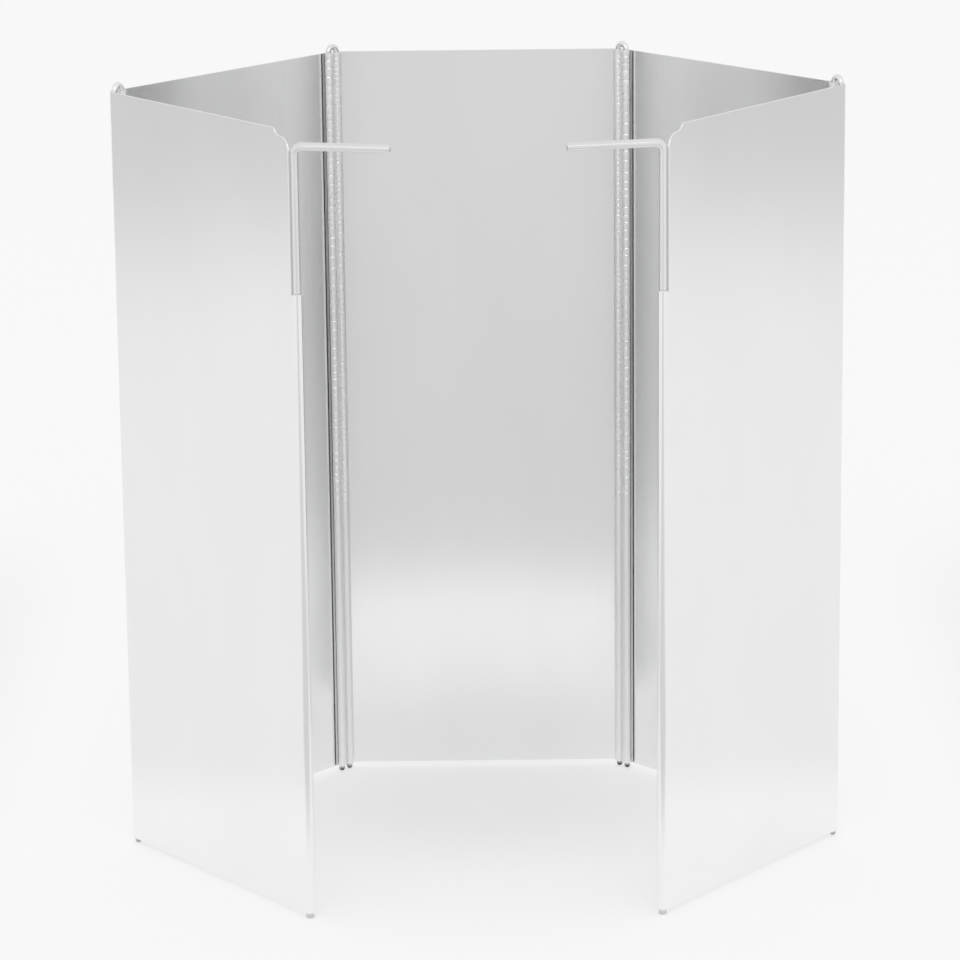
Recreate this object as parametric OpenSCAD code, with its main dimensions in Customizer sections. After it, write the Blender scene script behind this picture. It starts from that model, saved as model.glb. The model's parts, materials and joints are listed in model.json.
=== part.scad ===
// Folding stove windscreen: five sheet panels, four hairpin hinge wires and two ground stakes.
// It stands on the tips of its wires and stakes, on Z = 0, with its open side towards -Y.
// Lengths are in millimetres and angles in degrees.

/* [Panels] */
// Height of a panel
panel_h = 240; // [120:1:400]
// Width of a panel over its two hems
panel_w = 93.5; // [50:0.5:160]
// Thickness of the sheet
sheet_t = 0.5; // [0.3:0.05:1]
// Slit between the free edge of a curled hem and the sheet
curl_gap = 0.9; // [0.2:0.05:1.2]

/* [Hinges] */
// Diameter of the hinge wire
wire_d = 1.9; // [1.2:0.1:4]
// Play all round the wire in its hem
wire_play = 0.05; // [0.02:0.01:0.1]
// Space between the hems of two neighbouring panels
hem_space = 0.4; // [0.3:0.05:2]
// Height of the loop's centre over the panels
loop_rise = 0.1; // [0.1:0.1:6]
// Height of the panels over the ground, on the wire tips
foot_h = 1.8; // [1.2:0.1:20]

/* [Stakes] */
// Diameter of the stake rod
stake_d = 2.5; // [1.5:0.1:5]
// Play all round the rod in its hem
stake_play = 0.05; // [0.02:0.01:0.1]
// Bend between the rod and its arm, on the centre line
stake_bend_r = 2.2; // [2:0.1:5]
// Length of the arm from the rod's axis to its end
arm_len = 28.7; // [12:0.1:50]
// Depth of the arm's axis under the top of the panels
arm_drop = 4.8; // [4:0.1:25]
// Turn of each arm forward of the line between the stakes
arm_turn = 12; // [0:1:40]
// Bevel round the ends of the rod
stake_bevel = 0.3; // [0.1:0.05:0.5]

/* [Front corners] */
// Height of the free edge that is cut away over the stake hem
notch_h = 48.5; // [36:0.5:90]
// Distance of the cut edge from the stake's axis
notch_back = 0.6; // [0.3:0.1:4]
// Round step at the end of the top edge
step_r = 2.2; // [1:0.1:5]
// Flat stretch under the step
step_run = 0.4; // [0.1:0.1:4]
// Round corner between the step and the cut edge
corner_r = 3.8; // [1:0.1:8]

/* [Stance] */
// Turn from the back panel to a rear panel
rear_turn = 47.5; // [20:0.5:75]
// Turn from the back panel to a rear hinge wire
rear_wire_turn = 44; // [10:1:70]
// Turn from a rear panel to a front panel
front_turn = 81.7; // [60:0.1:100]
// Turn from a rear panel to a front hinge wire
front_wire_turn = 10; // [0:1:80]

/* [Hidden] */
$fn = 64;

sheet_colour = "#d5d6d7";
wire_colour = "#c3c5c7";
stake_colour = "#e2e3e4";

// How far a cutter reaches past the edge that it cuts
over = 1;

// Hinge hem: the bore that holds the wire and the sheet curled round it
wire_r = wire_d / 2;
hem_bore_r = wire_r + wire_play;
hem_r = hem_bore_r + sheet_t;
// From hem axis to hem axis, over one hinge and over one panel
hinge_pitch = 2 * hem_r + hem_space;
panel_pitch = panel_w - 2 * hem_r;
wire_top = foot_h + panel_h + loop_rise;

// Stake hem: flush with the hinge hem on the panel's outer face
stake_r = stake_d / 2;
stake_bore_r = stake_r + stake_play;
stake_hem_r = stake_bore_r + sheet_t;
stake_x = panel_w - hem_r - stake_hem_r;
stake_y = stake_hem_r - hem_r;
stake_hem_h = panel_h - notch_h;
arm_z = foot_h + panel_h - arm_drop;

// Headings of the left side, followed from the back panel to its free edge
rear_wire_heading = 180 + rear_wire_turn;
rear_heading = 180 + rear_turn;
front_wire_heading = rear_heading + front_wire_turn;
front_heading = rear_heading + front_turn;

// Point at a distance from p along a heading in plan
function along(p, heading, distance) = p + distance * [cos(heading), sin(heading)];

// Hem axes of the left side, with the back panel's axes on Y = 0
back_right = [panel_pitch / 2, 0];
back_left = -back_right;
rear_start = along(back_left, rear_wire_heading, hinge_pitch);
rear_end = along(rear_start, rear_heading, panel_pitch);
front_start = along(rear_end, front_wire_heading, hinge_pitch);
stake_axis = along(along(front_start, front_heading, stake_x), front_heading + 90, stake_y);

// The plan is moved along Y until its box is centred on the origin
plan_back = hem_r;
arm_front = stake_axis[1] - arm_len * sin(arm_turn) - stake_r * cos(arm_turn);
plan_front = min(arm_front, stake_axis[1] - stake_hem_r);
plan_shift = -(plan_back + plan_front) / 2;

// Stands its children at a point of the plan, with their X along a heading
module place(p, heading, z = 0) {
    translate([p[0], p[1] + plan_shift, z])
        rotate(heading)
            children();
}

// Section of a hem: its curl starts on the sheet at X = 0 and stops short of it again
module hem_section(bore_r) {
    outer_r = bore_r + sheet_t;
    difference() {
        circle(outer_r);
        circle(bore_r);
        translate([0, -outer_r])
            square([outer_r + over, sheet_t + curl_gap]);
    }
}

// Section of the flat sheet from the hinge hem's axis, with the inside towards +Y
module sheet_section(length) {
    translate([0, -hem_r])
        square([length, sheet_t]);
}

// Panel with a hinge hem on both edges
module hinged_panel() {
    linear_extrude(panel_h) {
        hem_section(hem_bore_r);
        sheet_section(panel_pitch);
        translate([panel_pitch, 0])
            mirror([1, 0])
                hem_section(hem_bore_r);
    }
}

// What is cut from a top corner: a round step, then a round corner down to the cut edge
module corner_cut_section() {
    translate([-corner_r - step_run, 0])
        circle(step_r);
    translate([-corner_r - step_run, -step_r])
        square([corner_r + step_run + over, step_r + over]);
    translate([-corner_r, -step_r - corner_r])
        difference() {
            square([corner_r + over, corner_r]);
            circle(corner_r);
        }
}

// Panel with a hinge hem on one edge and, below its notch, a stake hem on the other
module free_panel() {
    cut_x = stake_x - notch_back;
    difference() {
        union() {
            linear_extrude(panel_h) {
                hem_section(hem_bore_r);
                sheet_section(cut_x);
            }
            linear_extrude(stake_hem_h) {
                sheet_section(stake_x);
                translate([stake_x, stake_y])
                    mirror([1, 0])
                        hem_section(stake_bore_r);
            }
        }
        translate([cut_x, 0, panel_h])
            rotate([90, 0, 0])
                linear_extrude(hem_r + over)
                    corner_cut_section();
    }
}

// One leg of a hinge wire, hung from Z = 0, with a domed tip
module wire_leg() {
    tip_z = wire_r - wire_top;
    rotate_extrude() {
        translate([0, tip_z])
            square([wire_r, -tip_z]);
        intersection() {
            translate([0, tip_z])
                circle(wire_r);
            translate([0, -wire_top])
                square(wire_r);
        }
    }
}

// Hairpin with its legs on two hem axes, its tips on the ground and its loop over the panels
module hinge_wire() {
    translate([hinge_pitch / 2, 0, wire_top]) {
        for (side = [-1, 1])
            translate([side * hinge_pitch / 2, 0])
                wire_leg();
        rotate([90, 0, 0])
            rotate_extrude(angle = 180)
                translate([hinge_pitch / 2, 0])
                    circle(wire_r);
    }
}

// Straight rod from Z = 0 to its bevelled end
module bevelled_rod(length) {
    rotate_extrude()
        polygon([
            [0, 0],
            [stake_r, 0],
            [stake_r, length - stake_bevel],
            [stake_r - stake_bevel, length],
            [0, length]
        ]);
}

// Stake with its rod on Z and its arm along +X, drawn from the centre of its bend
module stake() {
    bend_z = arm_z - stake_bend_r;
    translate([stake_bend_r, 0, bend_z]) {
        translate([-stake_bend_r, 0])
            rotate([180, 0, 0])
                bevelled_rod(bend_z);
        rotate([90, 0, 0])
            rotate(90)
                rotate_extrude(angle = 90)
                    translate([stake_bend_r, 0])
                        circle(stake_r);
        translate([0, 0, stake_bend_r])
            rotate([0, 90, 0])
                bevelled_rod(arm_len - stake_bend_r);
    }
}

module back_panel() {
    color(sheet_colour)
        place(back_right, 180, foot_h)
            hinged_panel();
}

module left_rear_panel() {
    color(sheet_colour)
        place(rear_start, rear_heading, foot_h)
            hinged_panel();
}

module right_rear_panel() {
    mirror([1, 0, 0])
        left_rear_panel();
}

module left_front_panel() {
    color(sheet_colour)
        place(front_start, front_heading, foot_h)
            free_panel();
}

module right_front_panel() {
    mirror([1, 0, 0])
        left_front_panel();
}

module left_rear_hinge_wire() {
    color(wire_colour)
        place(back_left, rear_wire_heading)
            hinge_wire();
}

module right_rear_hinge_wire() {
    mirror([1, 0, 0])
        left_rear_hinge_wire();
}

module left_front_hinge_wire() {
    color(wire_colour)
        place(rear_end, front_wire_heading)
            hinge_wire();
}

module right_front_hinge_wire() {
    mirror([1, 0, 0])
        left_front_hinge_wire();
}

module left_stake() {
    color(stake_colour)
        place(stake_axis, -arm_turn)
            stake();
}

module right_stake() {
    mirror([1, 0, 0])
        left_stake();
}

back_panel();
left_rear_panel();
right_rear_panel();
left_front_panel();
right_front_panel();
left_rear_hinge_wire();
right_rear_hinge_wire();
left_front_hinge_wire();
right_front_hinge_wire();
left_stake();
right_stake();
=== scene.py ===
"""Looks of the folding stove windscreen: panels with tool-marked hems, hairpin wires and stakes."""

import json
import math
import random

import bmesh
import bpy
from mathutils import Matrix, Vector


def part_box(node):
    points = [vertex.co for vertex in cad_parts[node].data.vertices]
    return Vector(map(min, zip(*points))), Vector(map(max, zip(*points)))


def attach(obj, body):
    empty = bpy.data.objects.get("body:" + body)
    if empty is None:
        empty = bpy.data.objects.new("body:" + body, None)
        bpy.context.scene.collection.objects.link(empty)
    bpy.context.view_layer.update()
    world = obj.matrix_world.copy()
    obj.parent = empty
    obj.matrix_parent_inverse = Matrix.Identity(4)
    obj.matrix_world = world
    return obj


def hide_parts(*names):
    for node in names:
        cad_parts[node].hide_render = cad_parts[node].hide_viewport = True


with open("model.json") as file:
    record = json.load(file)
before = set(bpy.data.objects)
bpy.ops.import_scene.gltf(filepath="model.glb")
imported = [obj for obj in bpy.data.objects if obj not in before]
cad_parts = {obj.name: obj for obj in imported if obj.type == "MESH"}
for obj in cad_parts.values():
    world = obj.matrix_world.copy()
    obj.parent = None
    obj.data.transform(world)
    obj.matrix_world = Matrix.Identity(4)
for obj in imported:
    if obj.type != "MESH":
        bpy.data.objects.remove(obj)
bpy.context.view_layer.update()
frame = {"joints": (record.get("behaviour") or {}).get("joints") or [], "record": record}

MM = 0.001
QUARTER_TURN = math.radians(90)

# Sheet, wire and stake
SHEET_T = 0.5 * MM
CURL_GAP = 0.9 * MM
WIRE_R = 0.95 * MM
STAKE_R = 1.25 * MM
STAKE_PLAY = 0.05 * MM
STAKE_BEND_R = 2.2 * MM
ARM_LEN = 28.7 * MM
ARM_TURN = math.radians(12)

# Notch and ogee corner at the top of the free edge
NOTCH_H = 48.5 * MM
NOTCH_BACK = 0.6 * MM
STEP_R = 2.2 * MM
STEP_RUN = 0.4 * MM
CORNER_R = 3.8 * MM

# Broken edges of the sheet and bevelled ends of the stakes: distance from the edge, and how far the face
# is set in there
EDGE_ROUND = [(0.0, 0.12 * MM), (0.04 * MM, 0.05 * MM), (0.13 * MM, 0.0)]
STAKE_BEVEL = [(0.0, 0.3 * MM), (0.105 * MM, 0.09 * MM), (0.3 * MM, 0.0)]

# Angle round a hem's axis at which its curl runs into the flat sheet
SHEET_ANGLE = math.radians(270)

# Grooves that the hem roller left across the upper part of the hinge hems
MARK_DEPTH = 0.055 * MM
MARK_HALF_WIDTH = 0.13 * MM
MARK_SHARE = 0.62
STROKE_SPAN = math.radians(40)
STROKE_SPACING = (2.0 * MM, 3.8 * MM)
DOT_SPAN = math.radians(17)
DOT_SPACING = (1.6 * MM, 1.9 * MM)
BACK_FACE = math.radians(90)
REAR_FACE = math.radians(52)

# How the grooves vary: shares of their depth, radians to either side and shares of their span
MARK_PRESS = (0.6, 1.0)
MARK_PRESS_STEP = 0.2
MARK_STRAY = 0.16
MARK_REACH = (0.7, 1.15)

# A face pressed in by more than this share of a groove's depth is burnished
MARK_SHOWS = 0.2

# Random seeds of the grooves: the back panel's, each rear panel's, and the step on to the front panel's
BACK_SEED = 11
LEFT_SEED = 21
RIGHT_SEED = 31
FRONT_SEED_STEP = 4

# Finishes of a panel: flat sheet, rolled hem, burnished groove, inside of the hem in painted shade
SHEET_FACE, HEM_FACE, MARK_FACE, HEM_INSIDE_SHADE = range(4)

# Finishes of a rod: drawn side, cut end
ROD_SIDE, ROD_END = range(2)

# Steps of the meshes
HEM_STEPS = 26
FLAT_COLUMNS = 7
CORNER_STEPS = 10
LEVEL_STEP = 12 * MM
LEVEL_MERGE = 0.03 * MM
ROD_SIDES = 32
BEND_STEPS = 12
LOOP_STEPS = 28
DOME_STEPS = 6
SHARP_ANGLE = math.radians(18)

# Share of a step that a wire tip's rings are moved by, so that they end in a small flat
DOME_SHIFT = 0.3

# Rings along a wire's leg, as shares of its height
LEG_RINGS = (0.02, 0.5, 0.98)

# Extra columns, levels and rings this close to a hem, rim or bend keep the shading beyond them even
GUARD = 0.5 * MM

MIRROR = Matrix.Scale(-1, 4, (1, 0, 0))
PLAIN = Matrix.Identity(4)


def joint_point(name):
    """Plan point of a hinge axis of the frame."""
    joint = next(j for j in frame["joints"] if j["name"] == name)
    return Vector(joint["pos_m"][:2])


def heading_of(start, end):
    """Heading in plan from one point to another."""
    return math.atan2(end.y - start.y, end.x - start.x)


# Plan of the left side, from the hinge axes and the stake's box of the frame
back_right = joint_point("right_rear_wire_turn")
back_left = Vector((-back_right.x, back_right.y))
rear_start = joint_point("left_rear_fold")
rear_end = joint_point("left_front_wire_turn")
front_start = joint_point("left_front_fold")
stake_low, stake_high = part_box("left_stake")
stake_axis = Vector((stake_low.x + STAKE_R, stake_high.y - STAKE_R))

# Heights, hems and pitches, from the boxes and axes of the frame
panel_low, panel_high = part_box("back_panel")
foot_z = panel_low.z
panel_h = panel_high.z - panel_low.z
hem_r = (panel_high.y - panel_low.y) / 2
hem_mid_r = hem_r - SHEET_T / 2
panel_pitch = 2 * back_right.x
hinge_pitch = (rear_start - back_left).length
loop_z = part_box("left_rear_hinge_wire")[1].z - hinge_pitch / 2 - WIRE_R
arm_z = stake_high.z - STAKE_R

# Free edge of a front panel, in the panel's own plan
stake_hem_mid_r = STAKE_R + STAKE_PLAY + SHEET_T / 2
stake_hem_h = panel_h - NOTCH_H
stake_y = stake_hem_mid_r - hem_mid_r
stake_x = math.sqrt((stake_axis - front_start).length_squared - stake_y ** 2)
cut_x = stake_x - NOTCH_BACK
step_x = cut_x - CORNER_R - STEP_RUN
corner_z = panel_h - STEP_R - CORNER_R

rear_heading = heading_of(rear_start, rear_end)
front_heading = heading_of(front_start, stake_axis) - math.atan2(stake_y, stake_x)


def placed(point, heading, z=0.0):
    """Matrix that stands a local shape at a plan point with its X along a heading."""
    return Matrix.Translation((point.x, point.y, z)) @ Matrix.Rotation(heading, 4, "Z")


def arc(span, steps):
    """Angles from 0 to a span in even steps."""
    return [span * i / steps for i in range(steps + 1)]


class Station:
    """Column of a sheet's section: a point on its middle line, its outward normal, and its hem or edge."""

    def __init__(self, x, y, normal, inset=0.0, hem=None, angle=None, from_edge=None):
        self.x = x
        self.y = y
        self.normal = normal
        self.inset = inset
        self.hem = hem
        self.angle = angle
        self.curled = angle is not None
        self.from_edge = from_edge


def hem_stations(x, y, radius, free, hem=None):
    """Columns round a curled hem between the sheet and the angle of its free edge, which is broken."""
    towards = 1 if free < SHEET_ANGLE else -1
    angles = [(free + towards * back / radius, inset) for back, inset in EDGE_ROUND]
    first = angles[-1][0]
    angles += [(first + (SHEET_ANGLE - first) * (i + 1) / HEM_STEPS, 0.0) for i in range(HEM_STEPS)]
    stations = []
    for angle, inset in sorted(angles):
        normal = Vector((math.cos(angle), math.sin(angle)))
        stations.append(Station(x + radius * normal.x, y + radius * normal.y, normal, inset, hem, angle))
    return stations


def curl_stop(radius):
    """Angle over the sheet at which the free edge of a curl stops."""
    return math.asin((radius - SHEET_T / 2 - CURL_GAP) / radius)


def first_hem():
    """Hinge hem on the local origin, from its free edge to the sheet."""
    return hem_stations(0, 0, hem_mid_r, -curl_stop(hem_mid_r), hem=0)


def end_hem(x, y, radius, hem=None):
    """Hem at the far edge, from the sheet to its free edge."""
    return hem_stations(x, y, radius, 3 * math.pi + curl_stop(radius), hem)


def flat_station(x, inset=0.0, from_edge=None):
    """Column of the flat sheet."""
    return Station(x, -hem_mid_r, Vector((0, -1)), inset, from_edge=from_edge)


def flat_stations(end):
    """Inner columns of the flat sheet from the first hem up to a hem or edge."""
    gap = end / (FLAT_COLUMNS + 1)
    return [flat_station(GUARD)] + [flat_station(gap * (i + 1)) for i in range(FLAT_COLUMNS)]


def edge_stations():
    """Last columns of the sheet at the cut edge, placed by their distance from it."""
    places = EDGE_ROUND + [(EDGE_ROUND[-1][0] + GUARD, 0.0)]
    return [flat_station(0.0, inset, back) for back, inset in reversed(places)]


def tool_marks(seed, dots, face, top):
    """Grooves across one hem, from the top down: (height, depth, angle, half span)."""
    chance = random.Random(seed)
    span, spacing = (DOT_SPAN, DOT_SPACING) if dots else (STROKE_SPAN, STROKE_SPACING)
    least, most = MARK_PRESS
    press = most
    marks = []
    z = top - chance.uniform(*spacing)
    while z > panel_h * (1 - MARK_SHARE):
        press = min(most, max(least, press + chance.uniform(-MARK_PRESS_STEP, MARK_PRESS_STEP)))
        turn = face + chance.uniform(-MARK_STRAY, MARK_STRAY)
        marks.append((z, MARK_DEPTH * press, turn, span * chance.uniform(*MARK_REACH)))
        z -= chance.uniform(*spacing)
    return marks


def dent(marks, z, angle):
    """How far the grooves of a hem press its face in at a height and an angle."""
    total = 0.0
    for mark_z, depth, turn, span in marks:
        along = abs(z - mark_z) / MARK_HALF_WIDTH
        if along < 1:
            across = (angle - turn + math.pi) % math.tau - math.pi
            total += depth * (1 - along) * math.exp(-(across / span) ** 4)
    return total


class Level:
    """One height of a panel: how far its rims are broken, its cut edge and whether it has the stake hem."""

    def __init__(self, z, rim=0.0, edge=None, joined=False, hem_rim=0.0):
        self.z = z
        self.rim = rim
        self.edge = edge
        self.joined = joined
        self.hem_rim = hem_rim


def plain_levels(marks):
    """Levels of a panel with straight edges: both rims broken, even steps and three lines for each groove."""
    heights = [LEVEL_STEP * (i + 1) for i in range(int(panel_h / LEVEL_STEP))]
    heights += [z + MARK_HALF_WIDTH * k for hem in marks for z, *_ in hem for k in (-1, 0, 1)]
    top = panel_h - EDGE_ROUND[-1][0] - LEVEL_MERGE
    levels = [Level(back, inset) for back, inset in EDGE_ROUND]
    for z in sorted(heights):
        if levels[-1].z + LEVEL_MERGE < z < top:
            levels.append(Level(z))
    return levels + [Level(panel_h - back, inset) for back, inset in reversed(EDGE_ROUND)]


def corner_levels(marks):
    """Levels of a panel with a stake hem: up to the hem's rim, then the cut edge and its ogee corner."""
    plain = plain_levels(marks)
    rim = EDGE_ROUND[-1][0]
    below = stake_hem_h - rim - GUARD
    above = stake_hem_h + GUARD
    levels = [Level(v.z, v.rim, cut_x, joined=True) for v in plain if v.z < below - LEVEL_MERGE]
    levels.append(Level(below, 0.0, cut_x, joined=True))
    for back, inset in reversed(EDGE_ROUND):
        levels.append(Level(stake_hem_h - back, 0.0, cut_x, joined=True, hem_rim=inset))
    levels.append(Level(above, 0.0, cut_x))
    levels += [Level(v.z, 0.0, cut_x) for v in plain if above + LEVEL_MERGE < v.z < corner_z - LEVEL_MERGE]
    for turn in arc(QUARTER_TURN, CORNER_STEPS):
        z = corner_z + CORNER_R * math.sin(turn)
        levels.append(Level(z, 0.0, cut_x - CORNER_R * (1 - math.cos(turn))))
    for turn in arc(QUARTER_TURN, CORNER_STEPS):
        z = panel_h - rim - (STEP_R - rim) * math.cos(turn) + LEVEL_MERGE
        levels.append(Level(z, 0.0, step_x - STEP_R * math.sin(turn)))
    top = reversed(EDGE_ROUND[:-1])
    return levels + [Level(panel_h - back, inset, step_x - STEP_R) for back, inset in top]


class Column:
    """Outer and inner vertex of a sheet at one station and level."""

    def __init__(self, bm, station, level, marks, in_tail):
        at_cut = station.from_edge is not None
        x = level.edge - station.from_edge if at_cut else station.x
        inset = 0.0 if at_cut and level.joined else station.inset
        half = SHEET_T / 2 - max(inset, level.rim, level.hem_rim if in_tail else 0.0)
        press = 0.0 if station.hem is None else dent(marks[station.hem], level.z, station.angle)
        out = station.normal * (half - press)
        back = station.normal * half
        self.outer = bm.verts.new((x + out.x, station.y + out.y, level.z))
        self.inner = bm.verts.new((x - back.x, station.y - back.y, level.z))
        self.curled = station.curled
        self.rolled = station.hem is not None
        self.marked = press > MARK_SHOWS * MARK_DEPTH


def sheet_block(stations, tail, levels, marks):
    """Closed sheet: its section carried up through the levels, with the tail only where the stake hem is."""
    bm = bmesh.new()
    rows = []
    for level in levels:
        row = [Column(bm, s, level, marks, in_tail=False) for s in stations]
        if level.joined:
            row += [Column(bm, s, level, marks, in_tail=True) for s in tail]
        rows.append(row)

    def add_face(finish, *corners):
        """Face with a finish of the panel."""
        bm.faces.new(corners).material_index = finish

    def add_rim(row, first):
        """Faces across the sheet's thickness, from one column of a row to its end."""
        for a, b in zip(row[first:], row[first + 1:]):
            add_face(SHEET_FACE, a.outer, b.outer, b.inner, a.inner)

    for low, high in zip(rows, rows[1:]):
        last = min(len(low), len(high)) - 1
        for a, b, c, d in zip(low, low[1:last + 1], high[1:], high):
            curled = a.curled and b.curled
            marked = any(column.marked for column in (a, b, c, d))
            face = MARK_FACE if marked else HEM_FACE if a.rolled and b.rolled else SHEET_FACE
            add_face(face, a.outer, b.outer, c.outer, d.outer)
            # Inner faces of a curl get the painted shade of the hem's inside
            add_face(HEM_INSIDE_SHADE if curled else SHEET_FACE, b.inner, a.inner, d.inner, c.inner)
        for i in (0, last):
            finish = HEM_INSIDE_SHADE if low[i].curled else SHEET_FACE
            add_face(finish, low[i].outer, low[i].inner, high[i].inner, high[i].outer)
        if len(low) > len(high):
            add_rim(low, last)
    add_rim(rows[0], 0)
    add_rim(rows[-1], 0)
    return bm


def hinged_panel(seed, dots, face):
    """Panel with a hinge hem on both edges."""
    marks = [tool_marks(seed, dots, face, panel_h), tool_marks(seed + 1, dots, math.pi - face, panel_h)]
    flat = flat_stations(panel_pitch) + [flat_station(panel_pitch - GUARD)]
    stations = first_hem() + flat + end_hem(panel_pitch, 0, hem_mid_r, hem=1)
    return sheet_block(stations, [], plain_levels(marks), marks)


def free_panel(seed):
    """Panel with a hinge hem, a notch with an ogee corner and, below it, a stake hem."""
    marks = [tool_marks(seed, dots=False, face=BACK_FACE, top=corner_z)]
    stations = first_hem() + flat_stations(step_x - STEP_R) + edge_stations()
    stake_hem = end_hem(stake_x, stake_y, stake_hem_mid_r)
    return sheet_block(stations, stake_hem, corner_levels(marks), marks)


def rod(path, end_finish=ROD_SIDE):
    """Closed round rod through (point, direction, radius) stations that turn about Y only."""
    bm = bmesh.new()
    rings = []
    side = Vector((0, 1, 0))
    for point, direction, radius in path:
        across = direction.cross(side)
        ring = []
        for i in range(ROD_SIDES):
            angle = math.tau * i / ROD_SIDES
            ring.append(bm.verts.new(point + radius * (math.cos(angle) * across + math.sin(angle) * side)))
        rings.append(ring)
    for low, high in zip(rings, rings[1:]):
        for i in range(ROD_SIDES):
            j = (i + 1) % ROD_SIDES
            bm.faces.new((low[i], low[j], high[j], high[i]))
    for ring in (rings[0], rings[-1]):
        bm.faces.new(ring).material_index = end_finish
    return bm


def hairpin():
    """Hinge wire with a leg on each hem axis, domed tips and a loop over the top."""
    up = Vector((0, 0, 1))
    rising = []
    for i in reversed(range(DOME_STEPS)):
        turn = QUARTER_TURN * (i + DOME_SHIFT) / DOME_STEPS
        rising.append((Vector((0, 0, WIRE_R * (1 - math.sin(turn)))), up, WIRE_R * math.cos(turn)))
    rising += [(Vector((0, 0, loop_z * share)), up, WIRE_R) for share in LEG_RINGS]
    loop = []
    for turn in arc(math.pi, LOOP_STEPS):
        point = Vector((hinge_pitch / 2 * (1 - math.cos(turn)), 0, loop_z + hinge_pitch / 2 * math.sin(turn)))
        loop.append((point, Vector((math.sin(turn), 0, math.cos(turn))), WIRE_R))
    across = Vector((hinge_pitch, 0, 0))
    falling = [(point + across, -up, r) for point, _, r in reversed(rising)]
    return rod(rising + loop + falling)


def stake():
    """Stake with its rod on Z, a bend, and its arm along +X."""
    up = Vector((0, 0, 1))
    out = Vector((1, 0, 0))
    bend_z = arm_z - STAKE_BEND_R
    path = [(Vector((0, 0, back)), up, STAKE_R - inset) for back, inset in STAKE_BEVEL]
    path.append((Vector((0, 0, bend_z - GUARD)), up, STAKE_R))
    for turn in arc(QUARTER_TURN, BEND_STEPS):
        offset = Vector((1 - math.cos(turn), 0, math.sin(turn))) * STAKE_BEND_R
        path.append((Vector((0, 0, bend_z)) + offset, up * math.cos(turn) + out * math.sin(turn), STAKE_R))
    path.append((Vector((STAKE_BEND_R + GUARD, 0, arm_z)), out, STAKE_R))
    ends = reversed(STAKE_BEVEL)
    path += [(Vector((ARM_LEN - back, 0, arm_z)), out, STAKE_R - inset) for back, inset in ends]
    return rod(path, ROD_END)


# Bare metal is a little cool and patchy, and the flat sheet a little wavy
COOL = 0.002
PATCH_SCALE = 38.0
PATCH_DRAWN = 0.5
WAVE_SCALE = 9.0

# Tips on the ground are darker towards the foot, under the panels: painted shade, in an uneven line
FOOT_SHADE_HEIGHT = (1.3 * MM, 2.7 * MM)
FOOT_SHADE_UNEVEN = 1.2 * MM
FOOT_SHADE_SCALE = 700.0

# Part of a noise's range that is used, and the strength of the reliefs
NOISE_RANGE = (0.3, 0.7)
BUMP_STRENGTH = 0.5

# Sockets of a Mix node that is set to colours
MIX_SHARE, MIX_FIRST, MIX_SECOND = 0, 6, 7
MIX_RESULT = 2


def grey_colour(grey, cool=0.0):
    """Colour of a grey, which may be a little cool."""
    return (grey, grey + cool, grey + 2 * cool, 1)


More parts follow.
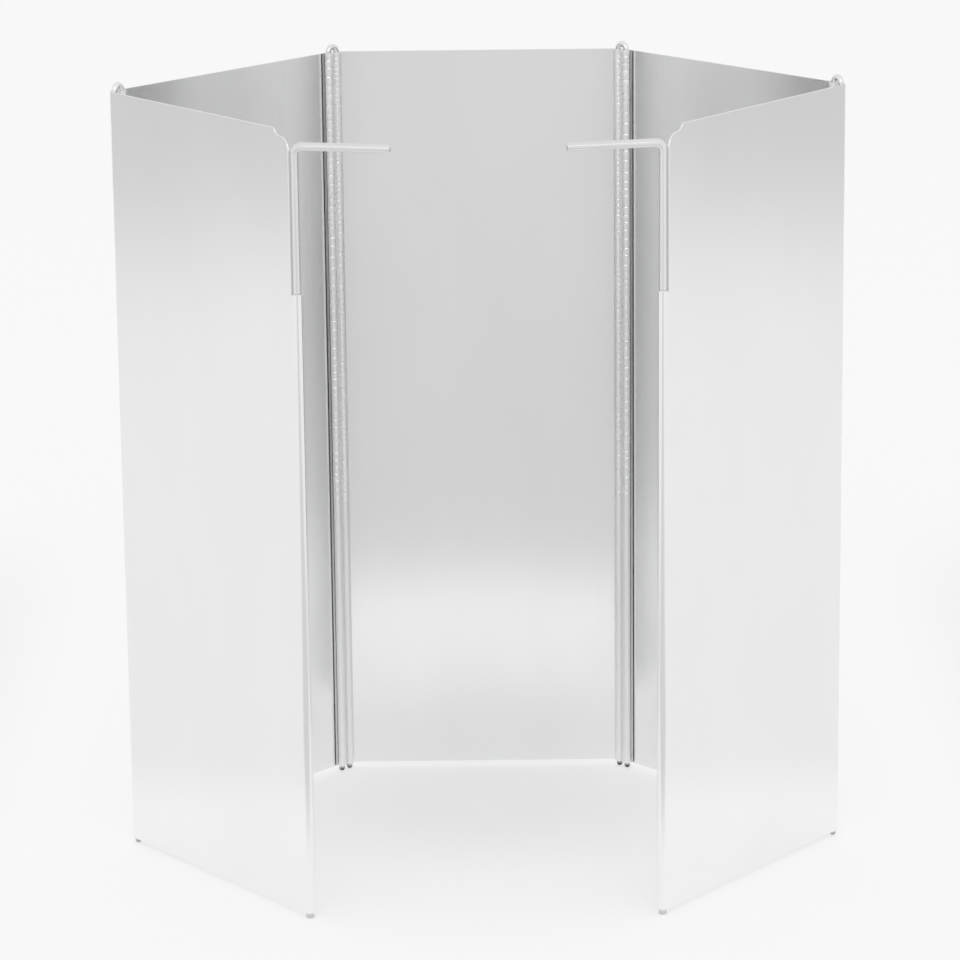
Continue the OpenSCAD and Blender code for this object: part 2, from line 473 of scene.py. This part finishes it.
class Shader:
    """Node material whose textures read the frame's own coordinates."""

    def __init__(self, name):
        self.material = bpy.data.materials.new(name)
        self.material.use_nodes = True
        self.nodes = self.material.node_tree.nodes
        self.surface = self.nodes["Principled BSDF"].inputs
        self.place = self.nodes.new("ShaderNodeTexCoord").outputs["Object"]

    def feed(self, value, socket):
        """Sets a socket to a number or colour, or links an output to it."""
        if isinstance(value, (float, tuple)):
            socket.default_value = value
        else:
            self.material.node_tree.links.new(value, socket)

    def coordinate(self, axis):
        """Coordinate along X, Y or Z."""
        parts = self.nodes.new("ShaderNodeSeparateXYZ")
        self.feed(self.place, parts.inputs["Vector"])
        return parts.outputs[axis]

    def maths(self, operation, *values):
        """Result of an operation on numbers or outputs."""
        node = self.nodes.new("ShaderNodeMath")
        node.operation = operation
        for value, socket in zip(values, node.inputs):
            self.feed(value, socket)
        return node.outputs[0]

    def spread(self, value, source, target, curve="LINEAR"):
        """Carries a value from one range over to another, and keeps it inside that one."""
        node = self.nodes.new("ShaderNodeMapRange")
        node.interpolation_type = curve
        names = ("Value", "From Min", "From Max", "To Min", "To Max")
        for given, name in zip((value, *source, *target), names):
            self.feed(given, node.inputs[name])
        return node.outputs["Result"]

    def fade(self, value, limits):
        """Smooth step from 0 at the first limit to 1 at the second."""
        return self.spread(value, limits, (0.0, 1.0), "SMOOTHSTEP")

    def blend(self, share, low, high):
        """Number from low to high, either of which may be an output."""
        return self.spread(share, (0.0, 1.0), (low, high))

    def mix(self, share, first, second):
        """Colour from the first to the second, either of which may be an output."""
        node = self.nodes.new("ShaderNodeMix")
        node.data_type = "RGBA"
        for value, socket in ((share, MIX_SHARE), (first, MIX_FIRST), (second, MIX_SECOND)):
            self.feed(value, node.inputs[socket])
        return node.outputs[MIX_RESULT]

    def noise(self, scale, drawn=1.0, detail=3.0):
        """Noise with the given scale per metre, and that scale times a share along Z."""
        mapping = self.nodes.new("ShaderNodeMapping")
        self.feed((1, 1, drawn), mapping.inputs["Scale"])
        self.feed(self.place, mapping.inputs["Vector"])
        texture = self.nodes.new("ShaderNodeTexNoise")
        self.feed(scale, texture.inputs["Scale"])
        self.feed(detail, texture.inputs["Detail"])
        self.feed(mapping.outputs["Vector"], texture.inputs["Vector"])
        return texture.outputs["Fac"]

    def tint(self, noise, dark, light):
        """Colour between two cool greys."""
        share = self.spread(noise, NOISE_RANGE, (0.0, 1.0))
        return self.mix(share, grey_colour(dark, COOL), grey_colour(light, COOL))

    def painted_foot_shade(self, colour, grey):
        """Colour that turns to a darker grey towards a tip on the ground, in an uneven line: painted shade at
        the foot.
        """
        height = self.maths("MULTIPLY_ADD", self.noise(FOOT_SHADE_SCALE), FOOT_SHADE_UNEVEN, self.coordinate("Z"))
        clean = self.spread(height, FOOT_SHADE_HEIGHT, (0.0, 1.0))
        return self.mix(clean, grey_colour(grey), colour)

    def bump(self, value, height, under=None):
        """Normal with a fine relief of a height in metres, over another relief if there is one."""
        node = self.nodes.new("ShaderNodeBump")
        self.feed(BUMP_STRENGTH, node.inputs["Strength"])
        self.feed(height, node.inputs["Distance"])
        self.feed(value, node.inputs["Height"])
        if under is not None:
            self.feed(under, node.inputs["Normal"])
        return node.outputs["Normal"]


def metal(name, greys, rough, grain, drawn, relief, painted_foot_shade=None, waves=None):
    """Bare metal with a drawn-out grain and a patchy grey, which may have painted shade at its foot, or be
    wavy.
    """
    shader = Shader(name)
    streaks = shader.noise(grain, drawn)
    colour = shader.tint(shader.noise(PATCH_SCALE, PATCH_DRAWN), *greys)
    if painted_foot_shade is not None:
        colour = shader.painted_foot_shade(colour, painted_foot_shade)
    under = None
    if waves is not None:
        under = shader.bump(shader.noise(WAVE_SCALE, detail=0.0), waves)
    shader.feed(1.0, shader.surface["Metallic"])
    shader.feed(colour, shader.surface["Base Color"])
    shader.feed(shader.spread(streaks, NOISE_RANGE, rough), shader.surface["Roughness"])
    shader.feed(shader.bump(streaks, relief, under), shader.surface["Normal"])
    return shader.material


def wire_metal(name, painted_foot_shade):
    """Drawn hinge wire whose tip is darkened to a grey as painted shade."""
    return metal(name, greys=(0.84, 0.92), rough=(0.25, 0.35), grain=2400.0, drawn=0.03, relief=0.001 * MM,
                 painted_foot_shade=painted_foot_shade)


# Finishes of each kind of piece, in the order of its face numbers
FINISHES = {
    "panel": [
        metal("satin_sheet", greys=(0.92, 0.94), rough=(0.15, 0.18), grain=900.0, drawn=0.02,
              relief=0.0004 * MM, waves=1.2 * MM),
        # Rolled hem: rougher than the sheet, and a lighter grey than it, which is painted light that
        # brightens the hems
        metal("rolled_hem_lightened", greys=(0.95, 0.975), rough=(0.5, 0.62), grain=1500.0, drawn=0.02,
              relief=0.003 * MM),
        # Burnished groove: the burnish is its low roughness; its light grey is partly a painted highlight
        metal("burnished_groove", greys=(0.96, 0.975), rough=(0.2, 0.3), grain=1500.0, drawn=0.2,
              relief=0.001 * MM),
        # Inside of the hems: a near-black grey that is painted shade, standing in for the shadow in the curls
        metal("hem_inside_painted_shade", greys=(0.04, 0.09), rough=(0.5, 0.7), grain=900.0, drawn=0.2,
              relief=0.01 * MM),
    ],
    # Tips darken at the foot as painted shade, deepest on the rear wires in the back corners
    "rear_hinge_wire": [wire_metal("rear_wire", painted_foot_shade=0.09)],
    "front_hinge_wire": [wire_metal("front_wire", painted_foot_shade=0.45)],
    "stake": [
        # The stake's tip gets a lighter painted shade at its foot
        metal("drawn_rod", greys=(0.79, 0.85), rough=(0.2, 0.26), grain=2000.0, drawn=0.03,
              relief=0.0006 * MM, painted_foot_shade=0.62),
        metal("cut_end", greys=(0.86, 0.93), rough=(0.6, 0.75), grain=3000.0, drawn=1.0,
              relief=0.003 * MM),
    ],
}

body_of_node = {n: body for body, nodes in frame["record"]["behaviour"]["bodies"].items() for n in nodes}


def dress(node, bm, place):
    """Puts a finished mesh in the place of a CAD node, on its body and with its finishes."""
    bmesh.ops.transform(bm, matrix=place, verts=bm.verts)
    bmesh.ops.recalc_face_normals(bm, faces=bm.faces)
    for face in bm.faces:
        face.smooth = True
    for edge in bm.edges:
        edge.smooth = len(edge.link_faces) == 2 and edge.calc_face_angle(math.pi) < SHARP_ANGLE
    mesh = bpy.data.meshes.new(node + "_looks")
    bm.to_mesh(mesh)
    bm.free()
    finishes = next(row for kind, row in FINISHES.items() if node.endswith(kind))
    for material in finishes:
        mesh.materials.append(material)
    piece = bpy.data.objects.new(node + "_looks", mesh)
    bpy.context.scene.collection.objects.link(piece)
    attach(piece, body_of_node[node])
    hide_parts(node)


back = placed(back_right, math.pi, foot_z)
dress("back_panel", hinged_panel(BACK_SEED, dots=True, face=BACK_FACE), back)
for side, turn, seed in (("left", PLAIN, LEFT_SEED), ("right", MIRROR, RIGHT_SEED)):
    rear = turn @ placed(rear_start, rear_heading, foot_z)
    front = turn @ placed(front_start, front_heading, foot_z)
    dress(side + "_rear_panel", hinged_panel(seed, dots=False, face=REAR_FACE), rear)
    dress(side + "_front_panel", free_panel(seed + FRONT_SEED_STEP), front)
    dress(side + "_rear_hinge_wire", hairpin(), turn @ placed(back_left, heading_of(back_left, rear_start)))
    dress(side + "_front_hinge_wire", hairpin(), turn @ placed(rear_end, heading_of(rear_end, front_start)))
    dress(side + "_stake", stake(), turn @ placed(stake_axis, -ARM_TURN))


# Camera that was fitted to the photograph
CAMERA_AT = Vector((-0.8, -1297.1, 460.4)) * MM
CAMERA_YAW = math.radians(0.01)
CAMERA_PITCH = math.radians(14.76)
CAMERA_ROLL = math.radians(-0.61)
CAMERA_REACH = 100.0
FOCAL_PIXELS = 4306
IMAGE_PIXELS = 960
SENSOR_MM = 36


def add_camera():
    """Camera that looks along +Y and down, rolled a little."""
    data = bpy.data.cameras.new("camera")
    data.sensor_width = SENSOR_MM
    data.lens = SENSOR_MM * FOCAL_PIXELS / IMAGE_PIXELS
    data.clip_end = CAMERA_REACH
    camera = bpy.data.objects.new("camera", data)
    flat = math.cos(CAMERA_PITCH)
    ahead = Vector((math.sin(CAMERA_YAW) * flat, math.cos(CAMERA_YAW) * flat, -math.sin(CAMERA_PITCH)))
    level = Vector((math.cos(CAMERA_YAW), -math.sin(CAMERA_YAW), 0))
    above = level.cross(ahead)
    right = level * math.cos(CAMERA_ROLL) + above * math.sin(CAMERA_ROLL)
    up = above * math.cos(CAMERA_ROLL) - level * math.sin(CAMERA_ROLL)
    turn = Matrix((right, up, -ahead)).transposed().to_4x4()
    camera.matrix_world = Matrix.Translation(CAMERA_AT) @ turn
    bpy.context.scene.collection.objects.link(camera)
    bpy.context.scene.camera = camera


# Pale floor: half its size in metres, and the grey that takes light and shadow under its glow
FLOOR_HALF = 5.0
FLOOR_DIFFUSE = 0.35

# Glow of the floor's zones: white round the object and behind it, duller at the sides, shaded inside the
# screen, and grey far out at the sides and in a strip in front
FLOOR_WHITE = 0.635
FLOOR_SIDE = 0.565
FLOOR_SHADE = 0.56
FLOOR_FAR = 0.325
FLOOR_GREY = 0.358

# Borders of the floor's zones in metres: a zone fades in from its first limit to its second
WHITE_REACH = (1.54, 0.97)
WHITE_SLANT = 0.75
WHITE_BACK = (0.65, 0.90)
SIDE_REACH = (0.145, 0.20)
SIDE_BACK = (0.42, 0.22)
GREY_FRONT = (-0.11, -0.215)
GREY_REACH = (0.30, 0.16)

# The shade is an oval; its border is given in shares of the half size
SHADE_MIDDLE = Vector((0, 0.04, 0))
SHADE_HALF = Vector((0.075, 0.07, 1))
SHADE_REACH = (1.2, 0.2)


def inside_shade(shader):
    """1 in the middle of the space that the panels enclose, 0 outside it."""
    local = shader.nodes.new("ShaderNodeMapping")
    local.vector_type = "TEXTURE"
    local.inputs["Location"].default_value = SHADE_MIDDLE
    local.inputs["Scale"].default_value = SHADE_HALF
    shader.feed(shader.place, local.inputs["Vector"])
    length = shader.nodes.new("ShaderNodeVectorMath")
    length.operation = "LENGTH"
    shader.feed(local.outputs["Vector"], length.inputs[0])
    return shader.fade(length.outputs["Value"], SHADE_REACH)


def floor_glow(shader):
    """Glow of the floor, from its zones laid over each other."""
    side = shader.maths("ABSOLUTE", shader.coordinate("X"))
    back = shader.coordinate("Y")
    aslant = shader.maths("MULTIPLY_ADD", back, WHITE_SLANT, side)
    dull = shader.maths("MULTIPLY", shader.fade(side, SIDE_REACH), shader.fade(back, SIDE_BACK))
    strip = shader.maths("MULTIPLY", shader.fade(back, GREY_FRONT), shader.fade(side, GREY_REACH))
    white = shader.blend(dull, FLOOR_WHITE, FLOOR_SIDE)
    white = shader.blend(inside_shade(shader), white, FLOOR_SHADE)
    glow = shader.blend(shader.fade(aslant, WHITE_REACH), FLOOR_FAR, white)
    glow = shader.blend(strip, glow, FLOOR_GREY)
    return shader.blend(shader.fade(back, WHITE_BACK), glow, FLOOR_WHITE)


def add_floor():
    """Large flat floor at the height that the object stands on."""
    mesh = bpy.data.meshes.new("floor")
    corners = [(x * FLOOR_HALF, y * FLOOR_HALF, 0) for x, y in ((-1, -1), (1, -1), (1, 1), (-1, 1))]
    mesh.from_pydata(corners, [], [(0, 1, 2, 3)])
    floor = bpy.data.objects.new("floor", mesh)
    bpy.context.scene.collection.objects.link(floor)
    shader = Shader("floor")
    shader.feed(grey_colour(FLOOR_DIFFUSE), shader.surface["Base Color"])
    shader.feed(1.0, shader.surface["Roughness"])
    shader.feed(0.0, shader.surface["Specular IOR Level"])
    shader.feed(grey_colour(1.0), shader.surface["Emission Color"])
    shader.feed(floor_glow(shader), shader.surface["Emission Strength"])
    mesh.materials.append(shader.material)


# Light of the studio
WORLD_GREY = 0.86
SOFTBOX_AT = Vector((0, -1.7, 1.25))
SOFTBOX_SIZE = (1.5, 0.6)
SOFTBOX_WATTS = 4.0


def add_light():
    """Even soft light from all round, and a softbox over the camera that the tool marks catch."""
    world = bpy.data.worlds.new("studio")
    world.use_nodes = True
    bpy.context.scene.world = world
    world.node_tree.nodes["Background"].inputs["Color"].default_value = grey_colour(WORLD_GREY)
    data = bpy.data.lights.new("softbox", "AREA")
    data.shape = "RECTANGLE"
    data.size, data.size_y = SOFTBOX_SIZE
    data.energy = SOFTBOX_WATTS
    softbox = bpy.data.objects.new("softbox", data)
    middle = Vector((0, 0, panel_h / 2))
    turn = (middle - SOFTBOX_AT).to_track_quat("-Z", "Y").to_matrix().to_4x4()
    softbox.matrix_world = Matrix.Translation(SOFTBOX_AT) @ turn
    bpy.context.scene.collection.objects.link(softbox)
    bpy.context.scene.view_settings.view_transform = "Standard"


add_camera()
add_floor()
add_light()
